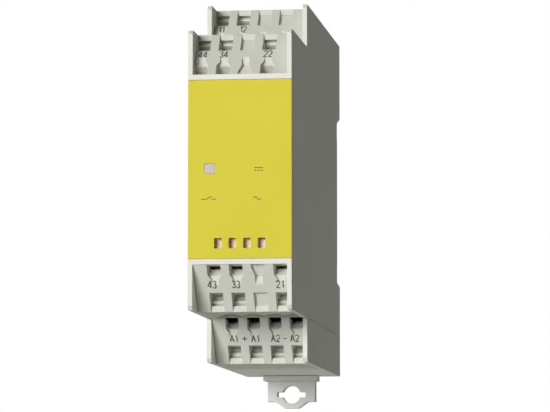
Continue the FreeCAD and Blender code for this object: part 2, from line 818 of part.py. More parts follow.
def relay_capsule():
    """Sealed relay case: a cover with a bevelled top on a slightly wider foot with stand-off pips."""
    y_foot = board_front - capsule_standoff
    half_w, half_h = capsule_width / 2, capsule_height / 2
    cover = box(-half_w, half_w, y_foot - capsule_depth, y_foot, middle - half_h, middle + half_h)
    rims = [e for e in cover.Edges if e.BoundBox.YMax < y_foot - capsule_depth + 0.01]
    cover = cover.makeChamfer(capsule_bevel, rims)
    groove = box(-half_w - 1, half_w + 1, y_foot - foot_height - foot_groove, y_foot - foot_height,
                 middle - half_h - 1, middle + half_h + 1)
    core_w, core_h = half_w - groove_sink, half_h - groove_sink
    core = box(-core_w, core_w, y_foot - foot_height - 1, y_foot - foot_height + 1,
               middle - core_h, middle + core_h)
    cover = joined([without(cover, [groove]), core])
    pips = [rod_y(sx * (half_w - 1), middle + sz * (half_h - 1), pip_diameter, y_foot - 0.5, board_front)
            for sx in (-1, 1) for sz in (-1, 1)]
    return joined([cover] + pips)


def relay_pins():
    y0 = board_front - capsule_standoff
    y1 = board_front + board_thickness + lead_past_board
    half_w, half_t = pin_thickness / 2, pin_width / 2
    return [box(x - half_w, x + half_w, y0, y1, z - half_t, z + half_t) for x, z in pin_places()]


def supply_back():
    return indicator_front + board_thickness


def leads(name, y_end):
    y0 = indicator_front - lead_past_board
    return [rod_y(x, z, lead_diameter, y0, y_end) for x, z in supply_leads()[name]]


def smoothing_capacitor():
    """Radial electrolytic can with its crimp groove and two leads."""
    (xa, z), (xb, _) = supply_leads()["smoothing_capacitor"]
    x, y0 = (xa + xb) / 2, supply_back() + 0.3
    can = rod_y(x, z, capacitor_diameter, y0, y0 + capacitor_length)
    ring = rod_y(x, z, capacitor_diameter + 1, y0 + crimp_low, y0 + crimp_high)
    ring = ring.cut(rod_y(x, z, capacitor_diameter - 2 * crimp_depth, y0, y0 + crimp_high + 1))
    return joined([can.cut(ring)] + leads("smoothing_capacitor", y0 + 0.5))


def bridge_rectifier():
    places = supply_leads()["bridge_rectifier"]
    xs, zs = [p[0] for p in places], [p[1] for p in places]
    y0 = supply_back() + 0.4
    body = box(min(xs) - bridge_margin_x, max(xs) + bridge_margin_x, y0, y0 + bridge_thickness,
               min(zs) - bridge_margin_z, max(zs) + bridge_margin_z)
    return joined([body] + leads("bridge_rectifier", y0 + 0.5))


def surge_varistor():
    """Dipped disc, standing on its two leads."""
    (x, za), (_, zb) = supply_leads()["surge_varistor"]
    z, y0 = (za + zb) / 2, supply_back() + 1.2
    radius = varistor_diameter / 2
    disc = Part.makeCylinder(radius, varistor_thickness, vec(x - varistor_thickness / 2, y0 + radius, z),
                             vec(1, 0, 0))
    disc = disc.makeChamfer(varistor_bevel, disc.Edges[:1] + disc.Edges[2:3])
    return joined([disc] + leads("surge_varistor", y0 + 2.5))


def axial_part(x, y, ends_z, y_end, body_diameter, body_length):
    """A round body on one wire, whose two ends are bent down into a board."""
    z0, z1 = ends_z
    path = rounded_path([vec(x, y_end, z0), vec(x, y, z0), vec(x, y, z1), vec(x, y_end, z1)], lead_bend)
    wire = path.makePipeShell([six_sided(vec(x, y_end, z0), lead_diameter)], True, False)
    body = Part.makeCylinder(body_diameter / 2, body_length, vec(x, y, (z0 + z1 - body_length) / 2))
    return joined([body, wire])


def dropping_resistors():
    places = supply_leads()["dropping_resistors"]
    y = supply_back() + resistor_diameter / 2 + 1.0
    return [axial_part(x, y, (za, zb), indicator_front - lead_past_board, resistor_diameter,
                       resistor_length) for (x, za), (_, zb) in zip(places[::2], places[1::2])]


def freewheel_diode():
    """Diode across the relay's coil, lying beside the capsule on the main board."""
    (x, za), (_, zb) = diode_leads()
    y = board_front - diode_diameter / 2 - 0.3
    y_end = board_front + board_thickness + lead_past_board
    return axial_part(x, y, (za, zb), y_end, diode_diameter, diode_length)


# ---------------------------------------------------------------- the whole module
def main():
    os.makedirs("parts", exist_ok=True)
    save("front_hood", front_hood())
    save("rail_base", rail_base())
    save("front_panel", front_panel())
    save("rail_clip", rail_clip())
    save("clip_spring", clip_spring())
    for tier_name in TIERS:
        used = USED_POLES[tier_name]
        block = upper_block(tier_name.replace("lower", "upper"), used)
        save("terminal_block_" + tier_name, turned(block) if tier_name.startswith("lower") else block)
        save("clamp_springs_" + tier_name, for_tier(tier_name, clamp_spring))
        save("current_bars_" + tier_name, for_tier(tier_name, current_bar))
    save("power_light_guide", power_light_guide())
    save("status_light_guide", status_light_guide())
    save("power_led", led(power_window_x, middle + power_window_z))
    save("status_leds", [led(x, middle + status_window_z) for x in status_xs()])
    save("indicator_board", indicator_board())
    save("main_board", main_board())
    save("board_link_wires", board_link_wires())
    save("relay_capsule", relay_capsule())
    save("relay_pins", relay_pins())
    save("smoothing_capacitor", smoothing_capacitor())
    save("bridge_rectifier", bridge_rectifier())
    save("surge_varistor", surge_varistor())
    save("dropping_resistors", dropping_resistors())
    save("freewheel_diode", freewheel_diode())


main()
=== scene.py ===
"""Finishes, printing, small springs and studio of a rail-mounted safety relay module."""

import json
import math

import bmesh
import bpy
from bpy.props import FloatProperty, FloatVectorProperty, PointerProperty
from bpy.types import Operator, Panel, PropertyGroup
from mathutils import Matrix, Vector
from mathutils.bvhtree import BVHTree


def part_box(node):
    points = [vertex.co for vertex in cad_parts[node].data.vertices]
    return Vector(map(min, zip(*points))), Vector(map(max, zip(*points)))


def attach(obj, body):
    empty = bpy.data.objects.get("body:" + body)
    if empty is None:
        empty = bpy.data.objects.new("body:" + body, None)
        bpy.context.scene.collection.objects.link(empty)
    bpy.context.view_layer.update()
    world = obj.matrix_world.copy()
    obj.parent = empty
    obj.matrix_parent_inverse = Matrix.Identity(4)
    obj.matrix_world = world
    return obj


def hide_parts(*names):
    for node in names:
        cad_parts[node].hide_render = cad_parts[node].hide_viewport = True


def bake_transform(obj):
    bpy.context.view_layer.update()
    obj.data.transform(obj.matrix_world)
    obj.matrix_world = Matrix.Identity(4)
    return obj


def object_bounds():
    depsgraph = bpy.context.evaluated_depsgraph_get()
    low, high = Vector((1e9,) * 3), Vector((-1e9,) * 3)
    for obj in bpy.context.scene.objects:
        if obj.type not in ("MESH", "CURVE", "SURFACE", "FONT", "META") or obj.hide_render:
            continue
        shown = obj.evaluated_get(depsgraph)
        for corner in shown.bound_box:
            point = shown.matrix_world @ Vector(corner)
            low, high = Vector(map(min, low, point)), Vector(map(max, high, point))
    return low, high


bl_info = {
    "name": "Relay Module Studio",
    "version": (1, 0, 0),
    "blender": (4, 5, 0),
    "location": "3D View > Sidebar > Relay",
    "description": "Finishes, printing, small springs and studio of a relay module",
    "category": "Object",
}

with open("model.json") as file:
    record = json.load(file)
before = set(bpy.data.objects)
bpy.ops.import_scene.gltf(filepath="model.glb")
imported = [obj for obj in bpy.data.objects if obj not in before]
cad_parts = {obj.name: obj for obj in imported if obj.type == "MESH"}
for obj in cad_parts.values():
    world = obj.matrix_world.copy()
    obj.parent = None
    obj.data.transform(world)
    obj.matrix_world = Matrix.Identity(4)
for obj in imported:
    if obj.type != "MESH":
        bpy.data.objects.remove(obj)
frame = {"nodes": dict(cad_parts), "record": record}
cad_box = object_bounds()

MM = 0.001
TIERS = ("upper_front", "upper_rear", "lower_front", "lower_rear")
POLES = 4
TONGUE_ROWS = 4  # steps up a clamp's tongue
COIL_STEPS = 32  # steps round one turn of the clip's spring
WIRE_SIDES = 10
SAME_EDGE = 0.01 * MM  # vertices this close to a block's edge lie on it

# Studio, in metres. A sun's direction points to the lamp, and its spread is in degrees.
FLOOR_WIDTH = 12
FLOOR_GLOW = 0.4  # what the floor adds for the camera, gloss and clear plastic
BOUNCE_SIZE = 0.3
BOUNCE_BEHIND = 0.05
BOUNCE_LIFT = 0.01
KEY_DIRECTION, KEY_SPREAD = (-0.28, -0.95, 0.07), 24
BACK_DIRECTION, BACK_SPREAD = (-0.45, 0.85, 0.45), 30
SENSOR_WIDTH = 36  # millimetres
CAMERA_NEAREST = 0.05


def linear(red, green, blue):
    """Screen values from 0 to 255 as scene-linear colour."""
    def one(value):
        share = value / 255
        return share / 12.92 if share <= 0.04045 else ((share + 0.055) / 1.055) ** 2.4
    return (one(red), one(green), one(blue))


SPRING_COLOUR = linear(190, 190, 186)
BAR_COLOUR = linear(196, 192, 182)
LENS_COLOUR = linear(236, 232, 212)
MASK_COLOUR = linear(36, 96, 56)
WIRE_COLOUR = linear(200, 198, 192)
EPOXY_COLOUR = linear(34, 34, 36)
CAPSULE_COLOUR = linear(222, 222, 216)
CAPACITOR_COLOUR = linear(36, 40, 54)
VARISTOR_COLOUR = linear(40, 78, 150)
RESISTOR_COLOUR = linear(112, 150, 146)
FLOOR_COLOUR = linear(240, 240, 238)


# ---------------------------------------------------------------- what a user would change
class RelayFinishSettings(PropertyGroup):
    """Colours and surface scales of the module's finishes."""

    housing_colour: FloatVectorProperty(
        name="Housing", description="Light grey plastic of the hood and the base",
        subtype="COLOR", size=3, min=0, max=1, default=linear(239, 238, 227))
    terminal_colour: FloatVectorProperty(
        name="Terminal blocks", description="Grey plastic of the terminal blocks",
        subtype="COLOR", size=3, min=0, max=1, default=linear(220, 221, 210))
    panel_colour: FloatVectorProperty(
        name="Front panel", description="Yellow plastic of the front panel",
        subtype="COLOR", size=3, min=0, max=1, default=linear(226, 213, 73))
    clip_colour: FloatVectorProperty(
        name="Rail clip", description="Grey plastic of the rail clip",
        subtype="COLOR", size=3, min=0, max=1, default=linear(225, 228, 222))
    ink_colour: FloatVectorProperty(
        name="Ink", description="Grey ink of the terminal numbers",
        subtype="COLOR", size=3, min=0, max=1, default=linear(76, 76, 74))
    panel_ink_colour: FloatVectorProperty(
        name="Panel ink", description="Olive ink of the signs on the front panel",
        subtype="COLOR", size=3, min=0, max=1, default=linear(112, 106, 42))
    power_guide_colour: FloatVectorProperty(
        name="Power window", description="Clear plastic of the power light guide",
        subtype="COLOR", size=3, min=0, max=1, default=linear(200, 186, 184))
    status_guide_colour: FloatVectorProperty(
        name="Status windows", description="Clear plastic of the status light guide",
        subtype="COLOR", size=3, min=0, max=1, default=linear(238, 214, 190))
    edge_radius: FloatProperty(
        name="Edge radius", description="Rounding that mouldings show along their edges",
        subtype="DISTANCE", unit="LENGTH", min=0, default=0.12 * MM)
    grain_size: FloatProperty(
        name="Grain size", description="Size of the spark-eroded grain on moulded faces",
        subtype="DISTANCE", unit="LENGTH", min=0.01 * MM, default=0.22 * MM)


class RelayPrintSettings(PropertyGroup):
    """Sizes of the printed numbers and signs."""

    number_height: FloatProperty(
        name="Number height", description="Height of a terminal number along its sloped face",
        subtype="DISTANCE", unit="LENGTH", default=1.85 * MM)
    stroke: FloatProperty(
        name="Stroke", description="Width of the lines of the numbers",
        subtype="DISTANCE", unit="LENGTH", default=0.26 * MM)
    sign_stroke: FloatProperty(
        name="Sign stroke", description="Width of the lines of the panel's signs",
        subtype="DISTANCE", unit="LENGTH", default=0.2 * MM)
    ink_thickness: FloatProperty(
        name="Ink thickness", description="How far the ink stands off the plastic",
        subtype="DISTANCE", unit="LENGTH", default=0.012 * MM)
    upper_place: FloatProperty(
        name="Upper numbers",
        description="Middle of the numbers above the upper blocks' inner edges",
        subtype="DISTANCE", unit="LENGTH", default=4.85 * MM)
    lower_front_place: FloatProperty(
        name="Lower front numbers",
        description="Middle of the numbers below the lower front block's inner edge",
        subtype="DISTANCE", unit="LENGTH", default=4.1 * MM)
    lower_rear_place: FloatProperty(
        name="Lower rear numbers",
        description="Middle of the numbers below the lower rear block's inner edge",
        subtype="DISTANCE", unit="LENGTH", default=4.3 * MM)


class RelayTongueSettings(PropertyGroup):
    """Sizes of the clamp tongues that close the wire holes."""

    width: FloatProperty(
        name="Tongue width", description="Across the wire hole, less a little play",
        subtype="DISTANCE", unit="LENGTH", default=2.26 * MM)
    height: FloatProperty(
        name="Tongue height", description="Up the wire hole, less a little play",
        subtype="DISTANCE", unit="LENGTH", default=0.86 * MM)
    depth: FloatProperty(
        name="Tongue depth", description="Tongue behind the terminal's mouth",
        subtype="DISTANCE", unit="LENGTH", default=4.6 * MM)
    inset: FloatProperty(
        name="Tongue inset",
        description="Tongue from the mouth's middle, towards the block's inner edge",
        subtype="DISTANCE", unit="LENGTH", default=0.83 * MM)
    strip: FloatProperty(
        name="Tongue strip", description="Thickness of the tongue's strip",
        subtype="DISTANCE", unit="LENGTH", default=0.15 * MM)
    lean: FloatProperty(
        name="Tongue lean", description="How far the tongue leans back from one edge to the other",
        subtype="DISTANCE", unit="LENGTH", default=0.3 * MM)


class RelaySpringSettings(PropertyGroup):
    """Sizes of the rail clip's coil spring."""

    wire: FloatProperty(
        name="Wire", description="Diameter of the spring's wire",
        subtype="DISTANCE", unit="LENGTH", default=0.5 * MM)
    active_turns: FloatProperty(
        name="Active turns", description="Open turns between the closed ends", default=4.5)
    closed_pitch: FloatProperty(
        name="Closed pitch", description="Rise of the closed turn at each end",
        subtype="DISTANCE", unit="LENGTH", default=0.52 * MM)


class RelayStudioSettings(PropertyGroup):
    """Camera, lamps and floor."""

    azimuth: FloatProperty(
        name="Azimuth", description="Camera's turn round the module, towards +X",
        subtype="ANGLE", unit="ROTATION", default=math.radians(7.16))
    elevation: FloatProperty(
        name="Elevation", description="Camera's height over the module; below it if negative",
        subtype="ANGLE", unit="ROTATION", default=math.radians(-5.553))
    distance: FloatProperty(
        name="Distance", description="Camera to the point that it looks at",
        subtype="DISTANCE", unit="LENGTH", default=0.8006)
    lens: FloatProperty(
        name="Lens", description="Focal length for a 36 mm wide picture",
        subtype="DISTANCE_CAMERA", unit="CAMERA", default=229.6)
    aim_offset: FloatVectorProperty(
        name="Aim", description="Point looked at, from the middle of the module's box",
        subtype="TRANSLATION", unit="LENGTH", size=3, default=(1.62 * MM, -0.45 * MM, 0.44 * MM))
    key_strength: FloatProperty(
        name="Key lamp", description="Strength of the soft lamp at the front left",
        min=0, default=3.25)
    back_strength: FloatProperty(
        name="Back lamp", description="Strength of the soft lamp behind, on the left",
        min=0, default=0.94)
    bounce_power: FloatProperty(
        name="Bounce lamp",
        description="Power of the panel that throws light up from below, in watts",
        min=0, default=0.07)
    room_strength: FloatProperty(
        name="Room light", description="Even light from all round",
        min=0, default=0.02)
    floor_drop: FloatProperty(
        name="Floor drop", description="Floor below the module",
        subtype="DISTANCE", unit="LENGTH", default=150 * MM)


def finish_settings():
    return bpy.context.scene.relay_finish


def print_settings():
    return bpy.context.scene.relay_print


def tongue_settings():
    return bpy.context.scene.relay_tongues


def spring_settings():
    return bpy.context.scene.relay_spring


def studio_settings():
    return bpy.context.scene.relay_studio


# ---------------------------------------------------------------- node helpers
class Shader:
    """A material round one Principled surface, with short calls for its nodes and links."""

    def __init__(self, name):
        self.material = bpy.data.materials.new(name)
        self.material.use_nodes = True
        self.tree = self.material.node_tree
        self.tree.nodes.clear()
        self.output = self.node("ShaderNodeOutputMaterial")
        self.surface = self.node("ShaderNodeBsdfPrincipled")
        self.link(self.surface.outputs["BSDF"], self.output.inputs["Surface"])

    def node(self, kind, **settings):
        made = self.tree.nodes.new(kind)
        for key, value in settings.items():
            setattr(made, key, value)
        return made

    def link(self, source, target):
        self.tree.links.new(source, target)

    def feed(self, socket, source):
        """Links a colour, value or normal to the surface."""
        self.link(source, self.surface.inputs[socket])

    def fix(self, socket, value):
        """Sets what is the same all over the surface."""
        self.surface.inputs[socket].default_value = value

    def object_point(self):
        return self.node("ShaderNodeTexCoord").outputs["Object"]

    def noise(self, size, detail=2.0, roughness=0.5, stretch=None):
        """Noise whose grains are about that size, in metres; stretch scales it along X, Y and Z."""
        texture = self.node("ShaderNodeTexNoise")
        texture.inputs["Scale"].default_value = 1 / size
        texture.inputs["Detail"].default_value = detail
        texture.inputs["Roughness"].default_value = roughness
        point = self.object_point()
        if stretch:
            mapping = self.node("ShaderNodeMapping")
            mapping.inputs["Scale"].default_value = stretch
            self.link(point, mapping.inputs["Vector"])
            point = mapping.outputs["Vector"]
        self.link(point, texture.inputs["Vector"])
        return texture.outputs["Fac"]

    def range(self, value, low, high):
        """The value, from 0 to 1, brought to another range."""
        node = self.node("ShaderNodeMapRange")
        node.inputs["To Min"].default_value = low
        node.inputs["To Max"].default_value = high
        self.link(value, node.inputs["Value"])
        return node.outputs["Result"]

    def tinted(self, colour, value, low, high):
        """The colour made darker or lighter where the value is low or high."""
        node = self.node("ShaderNodeMix", data_type="RGBA", blend_type="MIX")
        node.inputs["A"].default_value = (*[channel * low for channel in colour], 1)
        node.inputs["B"].default_value = (*[min(1, channel * high) for channel in colour], 1)
        self.link(value, node.inputs["Factor"])
        return node.outputs["Result"]

    def bump(self, height, depth, normal=None):
        node = self.node("ShaderNodeBump")
        node.inputs["Distance"].default_value = depth
        self.link(height, node.inputs["Height"])
        if normal:
            self.link(normal, node.inputs["Normal"])
        return node.outputs["Normal"]

    def rounded_edges(self, radius):
        node = self.node("ShaderNodeBevel", samples=BEVEL_SAMPLES)
        node.inputs["Radius"].default_value = radius
        return node.outputs["Normal"]


# ---------------------------------------------------------------- finishes
# Sizes of the patches, lines and ripples that the finishes show.
CLOUD_SIZE = 14 * MM
SHINE_SIZE = 3 * MM
GUIDE_CLOUD_SIZE = 0.8 * MM
GUIDE_RIPPLE_SIZE = 1.4 * MM
LINE_SIZE = 0.25 * MM
PLATING_PATCH_SIZE = 2.5 * MM
WEAVE_SIZE = 6 * MM
PEEL_SIZE = 0.9 * MM
SPECKLE_SIZE = 0.12 * MM
FLOOR_CLOUD_SIZE = 0.25

SHINE_SPREAD = 0.06
PLASTIC_GLOSS = 0.05
GUIDE_GLOSS = 0.3
GUIDE_IOR = 1.49
BEVEL_SAMPLES = 6


def moulded_plastic(name, colour, roughness=0.68, grain=0.010 * MM):
    """Satin moulding: cloudy tint, spark-eroded grain, softly rounded edges."""
    settings = finish_settings()
    shader = Shader(name)
    cloud = shader.noise(CLOUD_SIZE, detail=3)
    shader.feed("Base Color", shader.tinted(colour, cloud, low=0.96, high=1.03))
    shine = shader.noise(SHINE_SIZE, detail=2)
    low, high = roughness - SHINE_SPREAD, roughness + SHINE_SPREAD
    shader.feed("Roughness", shader.range(shine, low, high))
    shader.fix("Specular IOR Level", PLASTIC_GLOSS)
    edges = shader.rounded_edges(settings.edge_radius)
    fine = shader.noise(settings.grain_size, detail=4, roughness=0.6)
    shader.feed("Normal", shader.bump(fine, grain, edges))
    return shader.material


def clear_plastic(name, colour, roughness=0.42):
    """Clear moulding of the light guides, with a milky end."""
    shader = Shader(name)
    cloud = shader.noise(GUIDE_CLOUD_SIZE, detail=3)
    shader.feed("Base Color", shader.tinted(colour, cloud, low=0.93, high=1.04))
    shader.fix("Roughness", roughness)
    shader.fix("IOR", GUIDE_IOR)
    shader.fix("Specular IOR Level", GUIDE_GLOSS)
    ripple = shader.noise(GUIDE_RIPPLE_SIZE, detail=1)
    shader.feed("Normal", shader.bump(ripple, depth=0.01 * MM))
    return shader.material


def plated_metal(name, colour, roughness=0.28, stretch=(1, 1, 1), metallic=1.0):
    """Rolled or drawn metal with fine lines along its length."""
    shader = Shader(name)
    lines = shader.noise(LINE_SIZE, detail=4, roughness=0.7, stretch=stretch)
    patches = shader.noise(PLATING_PATCH_SIZE, detail=3)
    shader.feed("Base Color", shader.tinted(colour, patches, low=0.86, high=1.05))
    shader.fix("Metallic", metallic)
    shader.feed("Roughness", shader.range(lines, low=roughness - 0.08, high=roughness + 0.12))
    shader.feed("Normal", shader.bump(lines, depth=0.004 * MM))
    return shader.material


def board_laminate(name, colour):
    """Solder mask over glass cloth, with the weave showing faintly through."""
    shader = Shader(name)
    weave = shader.node("ShaderNodeTexWave", wave_type="BANDS", bands_direction="DIAGONAL")
    weave.inputs["Scale"].default_value = 1 / WEAVE_SIZE
    weave.inputs["Distortion"].default_value = 1.5
    shader.link(shader.object_point(), weave.inputs["Vector"])
    threads = weave.outputs["Fac"]
    shader.feed("Base Color", shader.tinted(colour, threads, low=0.85, high=1.15))
    shader.fix("Roughness", 0.32)
    shader.feed("Normal", shader.bump(threads, depth=0.01 * MM))
    return shader.material


def dipped_coating(name, colour, roughness=0.35):
    """Thick coating with a slightly uneven, orange-peel surface."""
    shader = Shader(name)
    peel = shader.noise(PEEL_SIZE, detail=2)
    shader.feed("Base Color", shader.tinted(colour, peel, low=0.88, high=1.1))
    shader.fix("Roughness", roughness)
    shader.feed("Normal", shader.bump(peel, depth=0.03 * MM))
    return shader.material


def printed_ink(name, colour):
    """Pad-printed ink, a little thin in places."""
    shader = Shader(name)
    speckle = shader.noise(SPECKLE_SIZE, detail=3)
    shader.feed("Base Color", shader.tinted(colour, speckle, low=0.85, high=1.35))
    shader.fix("Roughness", 0.6)
    return shader.material


def dress(node, material):
    """Gives a CAD node its material, in every slot."""
    data = frame["nodes"][node].data
    if not data.materials:
        data.materials.append(material)
    for index in range(len(data.materials)):
        data.materials[index] = material


# ---------------------------------------------------------------- printed strokes
def arc(centre, radius, start, end, steps=10):
    """Points along an arc, angles in degrees."""
    points = []
    for step in range(steps + 1):
        angle = math.radians(start + (end - start) * step / steps)
        points.append((centre[0] + radius * math.cos(angle), centre[1] + radius * math.sin(angle)))
    return points


GLYPHS = {
    "1": [[(0.12, 0.76), (0.36, 1.0), (0.36, 0.0)]],
    "2": [arc((0.31, 0.71), 0.29, 170, -38) + [(0.0, 0.0), (0.62, 0.0)]],
    "3": [arc((0.29, 0.755), 0.245, 155, -90), arc((0.29, 0.26), 0.26, 90, -155)],
    "4": [[(0.5, 0.0), (0.5, 1.0), (0.0, 0.27), (0.66, 0.27)]],
    "A": [[(0.0, 0.0), (0.34, 1.0), (0.68, 0.0)], [(0.13, 0.36), (0.55, 0.36)]],
    "+": [[(0.0, 0.46), (0.88, 0.46)], [(0.44, 0.16), (0.44, 0.76)]],
    "-": [[(0.0, 0.46), (0.6, 0.46)]],
}
GLYPH_GAP = 0.2
GLYPH_WIDTH = 0.68
PRINT_REACH = 12 * MM
PRINT_STEP = 0.15 * MM

# Each number is its text, its pole (a half stands between two poles) and the text's offset from the
# pole along X, in millimetres.
NUMBERS = {
    "upper_front": (("44", 0, 0.0), ("34", 1, -0.2), ("22", 3, -0.15)),
    "upper_rear": (("11", 0, 0.0), ("12", 1, 0.15)),
    "lower_front": (("43", 3, -0.75), ("33", 2, -0.35), ("21", 0, -0.4)),
    "lower_rear": (("A1", 3, 0.0), ("+", 2.5, 0.1), ("A1", 2, 0.05),
                   ("A2", 1, -0.15), ("-", 0.5, -0.4), ("A2", 0, -0.65)),
}

# Each sign is its strokes, in millimetres, and its place (x, z) from the panel's middle.
SIGNS = {
    "direct_current": ([[(-0.95, 0.3), (0.95, 0.3)], [(-0.95, -0.3), (-0.45, -0.3)],
                        [(-0.2, -0.3), (0.2, -0.3)], [(0.45, -0.3), (0.95, -0.3)]], (4.1, -0.1)),
    "open_contact": ([[(-1.65, 0.0), (-0.55, 0.0), (0.6, 0.62)], [(0.55, 0.0), (1.65, 0.0)]],
                     (-6.7, -6.5)),
    "alternating_current": ([[(-0.8 + 0.1 * k, 0.32 * math.sin(math.pi * k / 8))
                              for k in range(17)]], (3.8, -6.4)),
}


def text_strokes(text, height):
    """Strokes of a text, centred on its middle, as lists of points."""
    strokes = []
    left = 0.0
    for character in text:
        glyph = GLYPHS[character]
        width = max(x for stroke in glyph for x, _ in stroke)
        strokes += [[(left + x, y) for x, y in stroke] for stroke in glyph]
        left += width + GLYPH_GAP
    middle = (left - GLYPH_GAP) / 2
    return [[((x - middle) * height * GLYPH_WIDTH, (y - 0.5) * height) for x, y in stroke]
            for stroke in strokes]


def ink_lines(name, strokes, width):
    """Flat, round-ended ink lines as a mesh in their own plane."""
    curve = bpy.data.curves.new(name, "CURVE")
    curve.dimensions = "3D"
    curve.bevel_depth = width / 2
    curve.bevel_resolution = 1
    curve.use_fill_caps = True
    for stroke in strokes:
        points = stepped(stroke, width / 2)
        spline = curve.splines.new("POLY")
        spline.points.add(len(points) - 1)
        for point, (x, y) in zip(spline.points, points):
            point.co = (x, y, 0, 1)
    draft = bpy.data.objects.new(name + "_draft", curve)
    bpy.context.scene.collection.objects.link(draft)
    bpy.context.view_layer.update()
    drawn = draft.evaluated_get(bpy.context.evaluated_depsgraph_get())
    mesh = bpy.data.meshes.new_from_object(drawn)
    bpy.data.objects.remove(draft)
    mesh.transform(Matrix.Diagonal((1, 1, 2 * print_settings().ink_thickness / width, 1)))
    return mesh


def stepped(stroke, step):
    """The stroke with points no farther apart than a step."""
    points = [stroke[0]]
    for (x0, y0), (x1, y1) in zip(stroke, stroke[1:]):
        count = max(1, math.ceil(math.hypot(x1 - x0, y1 - y0) / step))
        for k in range(1, count + 1):
            points.append((x0 + (x1 - x0) * k / count, y0 + (y1 - y0) * k / count))
    return points


def lay_print(name, strokes, width, place, node, material):
    """Prints ink lines on the front of a CAD node; place takes their plane to the row frame."""
    mesh = ink_lines(name, strokes, width)
    data = frame["nodes"][node].data
    corners, faces = [v.co for v in data.vertices], [p.vertices for p in data.polygons]
    surface = BVHTree.FromPolygons(corners, faces)
    toward = Vector((0, 1, 0))
    for vertex in mesh.vertices:
        across, along, out = vertex.co
        at = place @ Vector((across, along, 0))
        hit = surface.ray_cast(at - toward * PRINT_REACH, toward, 2 * PRINT_REACH)[0]
        vertex.co = (hit or at) - toward * out
    cut_at_steps(mesh, place)
    mesh.materials.clear()
    mesh.materials.append(material)
    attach(add_piece(name, mesh), "module")


def cut_at_steps(mesh, place):
    """Takes out the ink that would hang between two levels of the plastic."""
    flat = place.inverted()
    shape = bmesh.new()
    shape.from_mesh(mesh)
    hanging = []
    for face in shape.faces:
        depths = [(flat @ vertex.co).z for vertex in face.verts]
        if max(depths) - min(depths) > PRINT_STEP:
            hanging.append(face)
    bmesh.ops.delete(shape, geom=hanging, context="FACES")
    shape.to_mesh(mesh)
    shape.free()


def face_of_block(tier):
    """The sloped face of a block: (y, z) of its inner edge and of its outer edge."""
    low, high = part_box("terminal_block_" + tier)
    outer = high.z if tier.startswith("upper") else low.z
    vertices = frame["nodes"]["terminal_block_" + tier].data.vertices
    outer_y = min(v.co.y for v in vertices if abs(v.co.z - outer) < SAME_EDGE)
    return (low.y, inner_edge(tier)), (outer_y, outer)


def inner_edge(tier):
    """Z of a block's inner edge; a rear block starts where the front block ends."""
    side, place = tier.split("_")
    low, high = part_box(f"terminal_block_{side}_front")
    outer, inner = (high.z, low.z) if side == "upper" else (low.z, high.z)
    return outer if place == "rear" else inner


def pole_x(tier, pole):
    """X of a pole, counted from the side where the block's openings start."""
    places = {mount["name"]: mount["pos_m"][0] for mount in frame["record"]["mounts"]}
    first, last = places["terminal_a2"], places["terminal_a1_minus"]
    x = first + (last - first) * pole / (POLES - 1)
    return -x if tier.startswith("upper") else x


# ---------------------------------------------------------------- operators
class RELAY_OT_finish_housing(Operator):
    """Gives the hood, the base and the clip their moulded plastic"""

    bl_idname = "relay.finish_housing"
    bl_label = "Finish Housing"

    def execute(self, context):
        settings = finish_settings()
        housing = moulded_plastic("housing_plastic", settings.housing_colour)
        dress("front_hood", housing)
        dress("rail_base", housing)
        dress("rail_clip", moulded_plastic("clip_plastic", settings.clip_colour))
        return {"FINISHED"}


class RELAY_OT_finish_panel(Operator):
    """Gives the front panel its yellow plastic"""

    bl_idname = "relay.finish_panel"
    bl_label = "Finish Front Panel"

    def execute(self, context):
        dress("front_panel", moulded_plastic("panel_plastic", finish_settings().panel_colour))
        return {"FINISHED"}


class RELAY_OT_finish_terminals(Operator):
    """Gives the terminal blocks, springs and bars their materials"""

    bl_idname = "relay.finish_terminals"
    bl_label = "Finish Terminals"

    def execute(self, context):
        block = moulded_plastic("terminal_plastic", finish_settings().terminal_colour)
        spring = plated_metal("spring_steel", SPRING_COLOUR, 0.5, stretch=(6, 1, 1), metallic=0.25)
        bar = plated_metal("tinned_copper", BAR_COLOUR, 0.34, stretch=(6, 0.5, 6))
        for tier in TIERS:
            dress("terminal_block_" + tier, block)
            dress("clamp_springs_" + tier, spring)
            dress("current_bars_" + tier, bar)
        dress("clip_spring", spring)
        return {"FINISHED"}


class RELAY_OT_finish_windows(Operator):
    """Gives the light guides and the lamps behind them their clear plastic"""

    bl_idname = "relay.finish_windows"
    bl_label = "Finish Windows"

    def execute(self, context):
        settings = finish_settings()
        lamp = clear_plastic("lamp_lens", LENS_COLOUR)
        power = clear_plastic("power_guide_clear", settings.power_guide_colour)
        status = clear_plastic("status_guide_clear", settings.status_guide_colour)
        dress("power_light_guide", power)
        dress("status_light_guide", status)
        for node in ("power_led", "status_leds"):
            dress(node, lamp)
        return {"FINISHED"}


class RELAY_OT_finish_inside(Operator):
    """Gives the boards and what they carry their materials"""

    bl_idname = "relay.finish_inside"
    bl_label = "Finish Inside Parts"

    def execute(self, context):
        board = board_laminate("solder_mask", MASK_COLOUR)
        wire = plated_metal("tinned_wire", WIRE_COLOUR, 0.3, stretch=(8, 1, 8))
        epoxy = dipped_coating("moulded_epoxy", EPOXY_COLOUR, 0.5)
        for node in ("indicator_board", "main_board"):
            dress(node, board)
        for node in ("board_link_wires", "relay_pins"):
            dress(node, wire)
        for node in ("bridge_rectifier", "freewheel_diode"):
            dress(node, epoxy)
        cover = moulded_plastic("relay_cover", CAPSULE_COLOUR, 0.35, grain=0.004 * MM)
        dress("relay_capsule", cover)
        dress("smoothing_capacitor", dipped_coating("capacitor_sleeve", CAPACITOR_COLOUR, 0.25))
        dress("surge_varistor", dipped_coating("varistor_coating", VARISTOR_COLOUR))
        dress("dropping_resistors", dipped_coating("resistor_coating", RESISTOR_COLOUR, 0.6))
        return {"FINISHED"}


